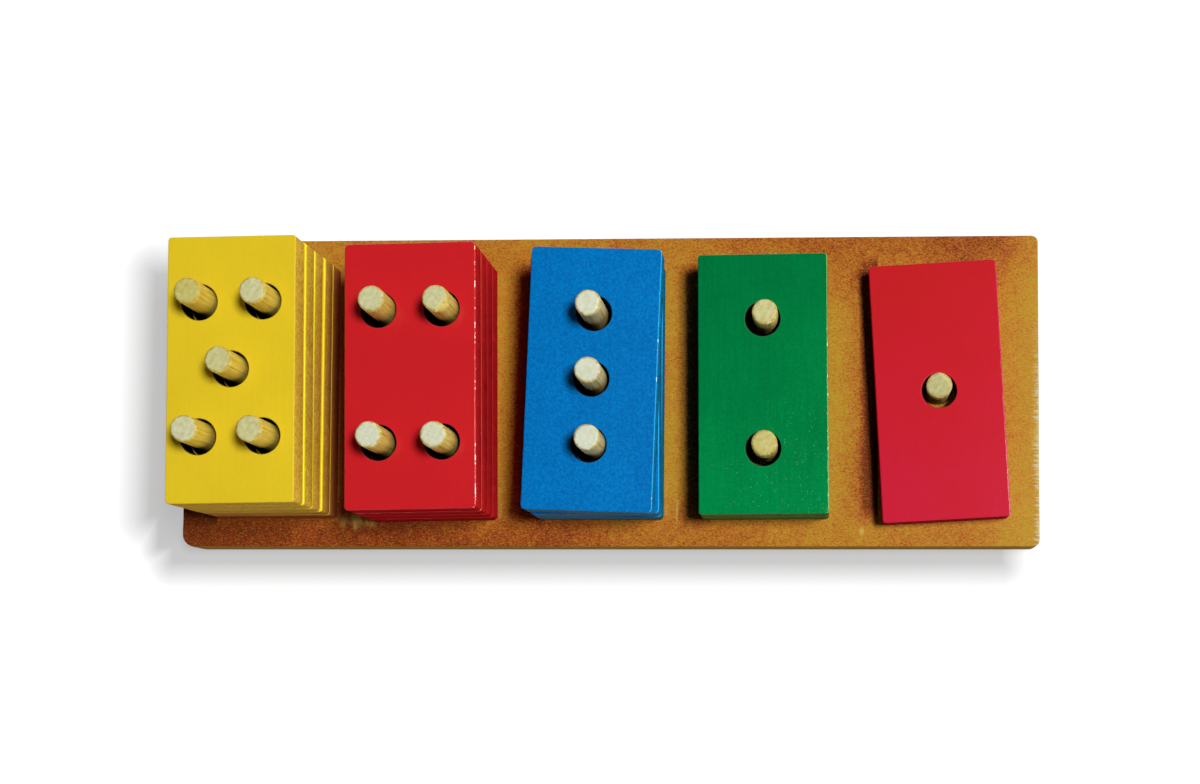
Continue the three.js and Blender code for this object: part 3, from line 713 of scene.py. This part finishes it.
def brushed_paint(name, tones, highlight_code, glint_code, speck_code, cloud, mottle, streak, drift, speck,
                  thin_spot, highlight_from, highlight_to, glint_threshold, glint_size, roughness, specular):
    """Brushed paint on softwood: a coat whose tone drifts over the plate, with fine mottle, brush streaks
    along its length and stray specks where it is thin. A painted highlight runs along the right-hand arris,
    broken by pale dashes of painted glint, most on the top plate, and round the holes the coat is matt and
    darkened by painted shade. Tones run from the darkest to the lightest; cloud, mottle, streak and the
    drift to the front are shares of that run. The thin spot is a place and a reach. The painted highlight
    lies on the plates between two given shares of the way up the stack."""
    material, tree, surface, own = start_material(name, roughness, specular)
    spot = add_node(tree, "ShaderNodeSeparateXYZ", {0: own})
    clouds = add_node(tree, "ShaderNodeTexNoise", {0: own, "Scale": 1 / PAINT_CLOUD, "Detail": 2.0})
    grains = add_node(tree, "ShaderNodeTexNoise", {0: own, "Scale": 1 / PAINT_GRAIN, "Detail": 2.0})
    brush_space = add_node(tree, "ShaderNodeMapping",
                           {0: own, "Rotation": (0.0, 0.0, 0.12), "Scale": (1.0, 0.06, 1.0)})
    streaks = add_node(tree, "ShaderNodeTexNoise", {0: brush_space, "Scale": 1 / BRUSH_MARK, "Detail": 3.0})
    start = 0.5 - 0.5 * (cloud + mottle + streak)
    tone = add_node(tree, "ShaderNodeMath", {0: spot.outputs["Y"], 1: -drift / HALF_PLATE, 2: start},
                    operation="MULTIPLY_ADD")
    for share, pattern in ((cloud, clouds), (mottle, grains), (streak, streaks)):
        tone = add_node(tree, "ShaderNodeMath", {0: pattern, 1: share, 2: tone}, operation="MULTIPLY_ADD")
    coat = add_node(tree, "ShaderNodeValToRGB", {0: tone}, stops=[
        (0.30, tones[0]), (0.50, tones[1]), (0.70, tones[2])])

    # Specks of bare wood, one in a cell at most
    place, reach = thin_spot
    away = add_node(tree, "ShaderNodeVectorMath", {0: own, 1: place}, operation="DISTANCE")
    thin = add_node(tree, "ShaderNodeMapRange",
                    {"Value": away.outputs["Value"], "From Max": reach, "To Min": 1.0 - speck,
                     "To Max": 1.0})
    cells = add_node(tree, "ShaderNodeTexVoronoi", {0: own, "Scale": 1 / SPECK_CELL})
    pick = add_node(tree, "ShaderNodeSeparateXYZ", {0: cells.outputs["Color"]})
    shown = add_node(tree, "ShaderNodeMath", {0: pick.outputs["X"], 1: thin}, operation="GREATER_THAN")
    size = add_node(tree, "ShaderNodeMath", {0: pick.outputs["Y"], 1: SPECK_SIZE}, operation="MULTIPLY")
    near = add_node(tree, "ShaderNodeMath", {0: cells.outputs["Distance"], 1: size}, operation="LESS_THAN")
    specks = add_node(tree, "ShaderNodeMath", {0: near, 1: shown}, operation="MULTIPLY")

    # Painted highlight along the right-hand arris, its pale dashes of painted glint, and painted shade on
    # the rims of the holes
    geometry = add_node(tree, "ShaderNodeNewGeometry")
    normal = add_node(tree, "ShaderNodeSeparateXYZ", {0: geometry.outputs["Normal"]})
    arris, bore, wear = [add_node(tree, "ShaderNodeAttribute", attribute_name=kind).outputs["Fac"]
                         for kind in ("arris", "bore", "wear")]
    # The painted highlight lies on the lit, right-facing part of the arris
    right = add_node(tree, "ShaderNodeMapRange",
                     {"Value": normal.outputs["X"], "From Min": 0.10, "From Max": 0.35})
    outer = add_node(tree, "ShaderNodeMath", {0: 1.0, 1: bore}, operation="SUBTRACT")
    above = add_node(tree, "ShaderNodeMath", {0: wear, 1: highlight_from}, operation="GREATER_THAN")
    below = add_node(tree, "ShaderNodeMath", {0: wear, 1: highlight_to}, operation="LESS_THAN")
    has_highlight = add_node(tree, "ShaderNodeMath", {0: above, 1: below}, operation="MULTIPLY")
    edge = arris
    for share in (right, outer, has_highlight):
        edge = add_node(tree, "ShaderNodeMath", {0: edge, 1: share}, operation="MULTIPLY")
    # Pale dashes of painted glint break up the painted highlight, more on the top plate
    chip_space = add_node(tree, "ShaderNodeMapping", {0: own, "Scale": (1.0, 0.6, 1.0)})
    glint_pattern = add_node(tree, "ShaderNodeTexNoise", {0: chip_space, "Scale": 1 / glint_size, "Detail": 2.0})
    more = add_node(tree, "ShaderNodeMapRange", {"Value": wear, "From Min": 0.75, "To Max": 0.16})
    glint_pattern = add_node(tree, "ShaderNodeMath", {0: glint_pattern, 1: more}, operation="ADD")
    chipped = add_node(tree, "ShaderNodeMapRange",
                       {"Value": glint_pattern, "From Min": glint_threshold, "From Max": glint_threshold + 0.03})
    chipped = add_node(tree, "ShaderNodeMath", {0: edge, 1: chipped}, operation="MULTIPLY")
    # Painted shade on the rims of the holes
    rim = add_node(tree, "ShaderNodeMath", {0: arris, 1: bore}, operation="MULTIPLY")
    rim = add_node(tree, "ShaderNodeMath", {0: rim, 1: RIM_SHADE_SHARE}, operation="MULTIPLY")
    colour = coat
    for share, code in ((specks, speck_code), (edge, highlight_code), (chipped, glint_code), (rim, HOLE_SHADE_CODE)):
        colour = add_node(tree, "ShaderNodeMix", {0: share, 6: colour, 7: linear(code)},
                          data_type="RGBA").outputs[2]
    tree.links.new(colour, surface.inputs["Base Color"])

    # Gloss of the coat, rubbed matt on arrises without a painted highlight and where it bends into the holes
    gloss = add_node(tree, "ShaderNodeMapRange",
                     {"Value": grains, "To Min": roughness - 0.05, "To Max": roughness + 0.05})
    unlined = add_node(tree, "ShaderNodeMath", {0: 1.0, 1: has_highlight}, operation="SUBTRACT")
    unlined = add_node(tree, "ShaderNodeMath", {0: unlined, 1: bore}, operation="MAXIMUM")
    rubbed = add_node(tree, "ShaderNodeMath", {0: arris, 1: unlined}, operation="MULTIPLY")
    bent = add_node(tree, "ShaderNodeMapRange",
                    {"Value": normal.outputs["Z"], "From Min": 0.999, "From Max": 0.99})
    bent = add_node(tree, "ShaderNodeMath", {0: bent, 1: bore}, operation="MULTIPLY")
    rubbed = add_node(tree, "ShaderNodeMath", {0: rubbed, 1: bent}, operation="MAXIMUM")
    gloss = add_node(tree, "ShaderNodeMix", {0: rubbed, 2: gloss, 3: 0.7}, data_type="FLOAT")
    tree.links.new(gloss.outputs[0], surface.inputs["Roughness"])
    relief = add_node(tree, "ShaderNodeMath", {0: streaks, 1: 2.0, 2: grains}, operation="MULTIPLY_ADD")
    bump = add_node(tree, "ShaderNodeBump", {"Height": relief, "Strength": 0.2, "Distance": 0.05 * MM})
    tree.links.new(bump.outputs[0], surface.inputs["Normal"])
    return material


def soaked_paint(name, tones, end_tones, side_highlight_code, foot):
    """Thin paint soaked into sawn softwood: dead matt, with fibres along the side showing darker. The end
    grain at front and back drank more of it and has tones of its own. On plates below the top one and above
    the lowest of a high stack, a painted highlight runs a little down the right-hand side under the arris.
    Painted shade blackens it in the bores, and painted shade and reddish painted bounce light, a share
    given by foot, darken it toward the board."""
    material, tree, surface, own = start_material(name, 0.9, 0.0)
    fibre_space = add_node(tree, "ShaderNodeMapping", {0: own, "Scale": (0.3, 0.3, 1.0)})
    fibres = add_node(tree, "ShaderNodeTexNoise", {0: fibre_space, "Scale": 1 / SIDE_FIBRE, "Detail": 3.0})
    grains = add_node(tree, "ShaderNodeTexNoise", {0: own, "Scale": 1 / SIDE_GRAIN, "Detail": 2.0})
    rub = add_node(tree, "ShaderNodeMath", {0: fibres, 1: grains}, operation="ADD")
    rub = add_node(tree, "ShaderNodeMath", {0: rub, 1: 0.5}, operation="MULTIPLY")
    long_grain, end_grain = [
        add_node(tree, "ShaderNodeValToRGB", {0: rub}, stops=[(0.38, dark), (0.60, light)])
        for dark, light in (tones, end_tones)]
    geometry = add_node(tree, "ShaderNodeNewGeometry")
    normal = add_node(tree, "ShaderNodeSeparateXYZ", {0: geometry.outputs["Normal"]})
    toward = add_node(tree, "ShaderNodeMath", {0: normal.outputs["Y"]}, operation="ABSOLUTE")
    is_end = add_node(tree, "ShaderNodeMapRange", {"Value": toward, "From Min": 0.5, "From Max": 0.8})
    wood = add_node(tree, "ShaderNodeMix", {0: is_end, 6: long_grain, 7: end_grain}, data_type="RGBA")

    spot = add_node(tree, "ShaderNodeSeparateXYZ", {0: own})
    # Painted shade and reddish painted bounce light toward the board
    low = add_node(tree, "ShaderNodeMapRange",
                   {"Value": spot.outputs["Z"], "From Min": FOOT_SHADE_FULL, "From Max": FOOT_SHADE_END,
                    "To Min": foot, "To Max": 0.0})
    rise, bore, wear = [add_node(tree, "ShaderNodeAttribute", attribute_name=kind).outputs["Fac"]
                        for kind in ("rise", "bore", "wear")]
    # Painted highlight down the top of the right-hand side, under the arris
    run = add_node(tree, "ShaderNodeMapRange", {"Value": rise, "From Min": 0.87, "From Max": 0.90})
    right = add_node(tree, "ShaderNodeMapRange",
                     {"Value": normal.outputs["X"], "From Min": 0.5, "From Max": 0.8})
    above = add_node(tree, "ShaderNodeMath", {0: wear, 1: HIGHLIGHT_FROM}, operation="GREATER_THAN")
    below = add_node(tree, "ShaderNodeMath", {0: wear, 1: HIGHLIGHT_TO}, operation="LESS_THAN")
    for share in (right, above, below):
        run = add_node(tree, "ShaderNodeMath", {0: run, 1: share}, operation="MULTIPLY")
    colour = wood.outputs[2]
    for share, code in ((low, FOOT_SHADE_CODE), (run, side_highlight_code), (bore, HOLE_SHADE_CODE)):
        colour = add_node(tree, "ShaderNodeMix", {0: share, 6: colour, 7: linear(code)},
                          data_type="RGBA").outputs[2]
    tree.links.new(colour, surface.inputs["Base Color"])
    bump = add_node(tree, "ShaderNodeBump", {"Height": fibres, "Strength": 0.4, "Distance": 0.10 * MM})
    tree.links.new(bump.outputs[0], surface.inputs["Normal"])
    return material


# A coat with no thin spot, its specks astray all over the plate
EVEN_COAT = ((0.0, 0.0, 0.0), 1.0)

satin_yellow = brushed_paint(
    "satin_yellow_paint_on_softwood", tones=["#d6b723", "#dfc124", "#e6c823"], highlight_code="#f2ec1c",
    glint_code="#f4ec7a", speck_code="#8a7420", cloud=0.3, mottle=0.2, streak=0.15, drift=0.0, speck=0.004,
    thin_spot=EVEN_COAT, highlight_from=HIGHLIGHT_FROM, highlight_to=HIGHLIGHT_TO, glint_threshold=1.0, glint_size=1.5 * MM,
    roughness=0.3, specular=0.15)
yellow_sides = soaked_paint(
    "thin_yellow_paint_on_sawn_softwood", tones=["#c09038", "#eac440"], end_tones=["#b88a36", "#d8ac3e"],
    side_highlight_code="#f2ec1c", foot=0.97)
painted_plates("five", satin_yellow, yellow_sides, dent=0.07 * MM, corner=1.1 * MM)


# Red plates
# Four plates on the four corner pegs, in thick gloss red. A painted highlight runs along the right-hand
# arris of the upper two, broken into short pale dashes of painted glint, most on the top one.
gloss_red = brushed_paint(
    "gloss_red_paint_on_softwood", tones=["#c01e24", "#c72026", "#cd2228"], highlight_code="#d8402a",
    glint_code="#fff0e8", speck_code="#a0181c", cloud=0.25, mottle=0.15, streak=0.1, drift=0.0, speck=0.0,
    thin_spot=EVEN_COAT, highlight_from=0.6, highlight_to=1.1, glint_threshold=0.72, glint_size=1.1 * MM, roughness=0.16,
    specular=0.3)
red_sides = soaked_paint(
    "thin_red_paint_on_sawn_softwood", tones=["#a8181c", "#c82224"], end_tones=["#941213", "#ae1819"],
    side_highlight_code="#c82224", foot=0.0)
painted_plates("four", gloss_red, red_sides, dent=0.10 * MM, corner=1.5 * MM)


# Blue plates
# Three plates on a row of three pegs, in flat blue that dried with a fine mottle. The lower two lie askew
# under the top one. A painted highlight runs along the right-hand arris of each plate, with pale dashes of
# painted glint.
flat_blue = brushed_paint(
    "flat_blue_paint_on_softwood", tones=["#0062a6", "#006eb6", "#007cc6"], highlight_code="#22aeea",
    glint_code="#d8f2fa", speck_code="#00558f", cloud=0.2, mottle=0.9, streak=0.1, drift=0.0, speck=0.004,
    thin_spot=EVEN_COAT, highlight_from=0.0, highlight_to=1.1, glint_threshold=0.78, glint_size=1.2 * MM, roughness=0.4,
    specular=0.05)
blue_sides = soaked_paint(
    "thin_blue_paint_on_sawn_softwood", tones=["#186090", "#1a88b8"], end_tones=["#46565f", "#46748e"],
    side_highlight_code="#1a84b8", foot=0.0)
painted_plates("three", flat_blue, blue_sides, dent=0.10 * MM, corner=1.6 * MM)


# Green plates
# Two plates on two pegs, in gloss green laid on with a coarse brush, so that streaks run along it. Bare
# wood shows as small yellow specks toward the front right corner, and along the front edge. A painted
# highlight runs along the right-hand arris of the top plate.
GREEN_THIN_SPOT = ((84 * MM, -46 * MM, 30 * MM), 46 * MM)
gloss_green = brushed_paint(
    "gloss_green_paint_on_softwood", tones=["#006c36", "#00783d", "#008846"], highlight_code="#7cb05c",
    glint_code="#eef8e4", speck_code="#74a84a", cloud=0.3, mottle=0.35, streak=0.25, drift=0.12, speck=0.9,
    thin_spot=GREEN_THIN_SPOT, highlight_from=0.6, highlight_to=1.1, glint_threshold=0.78, glint_size=1.0 * MM,
    roughness=0.16, specular=0.15)
green_sides = soaked_paint(
    "thin_green_paint_on_sawn_softwood", tones=["#3c5a26", "#4a7a34"], end_tones=["#585426", "#607834"],
    side_highlight_code="#4a7a34", foot=0.0)
painted_plates("two", gloss_green, green_sides, dent=0.12 * MM, corner=1.1 * MM)


# Crimson plate
# One plate held by a single peg, on which it has swung a little. It has round corners. Toward the front its
# red turns to crimson in a soft painted sheen, and a pink painted highlight runs along the right-hand edge.
# The drift to the front and the magenta lightest tone paint a soft sheen
satin_crimson = brushed_paint(
    "satin_crimson_paint_on_softwood", tones=["#be1f23", "#c41e2c", "#c61f38"], highlight_code="#c83a62",
    glint_code="#dc98bc", speck_code="#9c1a28", cloud=0.3, mottle=0.2, streak=0.1, drift=0.16, speck=0.004,
    thin_spot=EVEN_COAT, highlight_from=0.0, highlight_to=1.1, glint_threshold=0.84, glint_size=1.6 * MM, roughness=0.15,
    specular=0.14)
crimson_sides = soaked_paint(
    "thin_crimson_paint_on_sawn_softwood", tones=["#9c1c24", "#b82030"], end_tones=["#8c1a22", "#a81e2c"],
    side_highlight_code="#b82030", foot=0.0)
painted_plates("one", satin_crimson, crimson_sides, dent=0.08 * MM, corner=1.3 * MM)


# Floor
# A sheet of white paper that lies flat under the board and curves up all round, as in a photographer's
# tent. It carries a soft grey painted shadow to the left and in front of the board, as on a catalogue page,
# and the real shadow on it.
FLOOR_FLAT = 1.2
FLOOR_BEND = 0.7
FLOOR_SIDES = 64
FLOOR_GLOW = 0.85
# Rectangles of painted shadow: left, front, right and back edges from the middle of the board, and the
# width of the soft rim
PAINTED_SHADOW_BOXES = [(-190 * MM, -48 * MM, -150 * MM, 52 * MM, 15 * MM), (-186 * MM, -61 * MM, -150 * MM, 0.0, 9 * MM),
         (-180 * MM, -67 * MM, 157 * MM, 0.0, 11.5 * MM)]


def white_paper():
    """Matt white paper. The camera and mirror-like reflections see it glow at a part of white, so that what
    the lamps add to it is white in the open and grey in the shadow. To all other light it is plain matt
    paper."""
    material = bpy.data.materials.new("white_paper")
    material.use_nodes = True
    tree = material.node_tree
    tree.nodes.clear()
    path = add_node(tree, "ShaderNodeLightPath")
    seen = add_node(tree, "ShaderNodeMath",
                    {0: path.outputs["Is Camera Ray"], 1: path.outputs["Is Glossy Ray"]},
                    operation="MAXIMUM")
    seen = add_node(tree, "ShaderNodeMath", {0: seen, 1: path.outputs["Is Transmission Ray"]},
                    operation="MAXIMUM")
    own = add_node(tree, "ShaderNodeTexCoord").outputs["Object"]
    # Painted shadow: grey within the rectangles, fading over their soft rims
    painted_shadow = 0.0
    for left, front, right, back, rim in PAINTED_SHADOW_BOXES:
        away = add_node(tree, "ShaderNodeVectorMath",
                        {0: own, 1: ((left + right) / 2, (front + back) / 2, 0.0)}, operation="SUBTRACT")
        away = add_node(tree, "ShaderNodeVectorMath", {0: away}, operation="ABSOLUTE")
        away = add_node(tree, "ShaderNodeVectorMath",
                        {0: away, 1: ((right - left) / 2, (back - front) / 2, 0.0)}, operation="SUBTRACT")
        away = add_node(tree, "ShaderNodeVectorMath", {0: away, 1: (0.0, 0.0, 0.0)}, operation="MAXIMUM")
        away = add_node(tree, "ShaderNodeVectorMath", {0: away}, operation="LENGTH")
        here = add_node(tree, "ShaderNodeMapRange",
                        {"Value": away.outputs["Value"], "From Max": rim, "To Min": 1.0, "To Max": 0.0})
        painted_shadow = add_node(tree, "ShaderNodeMath", {0: here, 1: painted_shadow}, operation="MAXIMUM")
    sheet = add_node(tree, "ShaderNodeMix", {0: painted_shadow, 6: linear("#ffffff"), 7: linear("#c4c4c4")},
                     data_type="RGBA").outputs[2]
    glow = add_node(tree, "ShaderNodeEmission", {"Color": sheet, "Strength": FLOOR_GLOW})
    dimmed = add_node(tree, "ShaderNodeMix", {0: 1.0, 6: sheet, 7: linear("#808080")}, data_type="RGBA",
                      blend_type="MULTIPLY")
    paper = add_node(tree, "ShaderNodeBsdfDiffuse", {"Color": dimmed.outputs[2]})
    lit = add_node(tree, "ShaderNodeAddShader", {0: glow, 1: paper})
    matt = add_node(tree, "ShaderNodeBsdfDiffuse", {"Color": linear("#dedede")})
    both = add_node(tree, "ShaderNodeMixShader", {0: seen, 1: matt, 2: lit})
    add_node(tree, "ShaderNodeOutputMaterial", {"Surface": both})
    return material


rings = [(FLOOR_FLAT, 0.0)]
rings += [(FLOOR_FLAT + FLOOR_BEND * math.sin(a), FLOOR_BEND * (1 - math.cos(a)))
          for a in (math.radians(10 * step) for step in range(1, 10))]
turns = [2 * math.pi * k / FLOOR_SIDES for k in range(FLOOR_SIDES)]
paper_points = [(r * math.cos(turn), r * math.sin(turn), z) for r, z in rings for turn in turns]
paper_faces = [tuple(range(FLOOR_SIDES))]
for ring in range(len(rings) - 1):
    for k in range(FLOOR_SIDES):
        a = ring * FLOOR_SIDES + k
        b = ring * FLOOR_SIDES + (k + 1) % FLOOR_SIDES
        paper_faces.append((a, b, b + FLOOR_SIDES, a + FLOOR_SIDES))
paper_mesh = bpy.data.meshes.new("paper_floor")
paper_mesh.from_pydata(paper_points, [], paper_faces)
paper_mesh.materials.append(white_paper())
floor = bpy.data.objects.new("paper_floor", paper_mesh)
bpy.context.scene.collection.objects.link(floor)


# Lamps
# One oval softbox high at the right, longer from front to back than across, as the shadows beside the
# stacks show, and a dim even room. A white face under it renders at about white.
KEY_DIRECTION = Vector((0.465, 0.05, 1.0)).normalized()
KEY_DISTANCE = 2.8
KEY_SIZE = (0.90, 0.70)
KEY_WATTS = 82
ROOM_LIGHT = 0.008

softbox = bpy.data.lights.new("softbox", "AREA")
softbox.shape = "ELLIPSE"
softbox.size, softbox.size_y = KEY_SIZE
softbox.energy = KEY_WATTS
key = bpy.data.objects.new("softbox", softbox)
key.location = KEY_DIRECTION * KEY_DISTANCE
key.rotation_euler = KEY_DIRECTION.to_track_quat("Z", "Y").to_euler()
bpy.context.scene.collection.objects.link(key)

room = bpy.data.worlds.new("room")
room.use_nodes = True
room.node_tree.nodes["Background"].inputs["Color"].default_value = (1.0, 1.0, 1.0, 1.0)
room.node_tree.nodes["Background"].inputs["Strength"].default_value = ROOM_LIGHT
bpy.context.scene.world = room


# Camera
# It hangs nearly straight over the board, a little to the right and in front, with the picture shifted so
# that the board lies to the left of and above the lens's own middle.
lens = bpy.data.cameras.new("camera")
lens.lens = 43.134
lens.shift_x = -0.15
lens.shift_y = 0.18
camera = bpy.data.objects.new("camera", lens)
camera.location = (0.0885, -0.1163, 0.5769)
camera.rotation_euler = [math.radians(angle) for angle in (3.052, 1.982, 0.184)]
bpy.context.scene.collection.objects.link(camera)
bpy.context.scene.camera = camera
bpy.context.scene.view_settings.view_transform = "Standard"
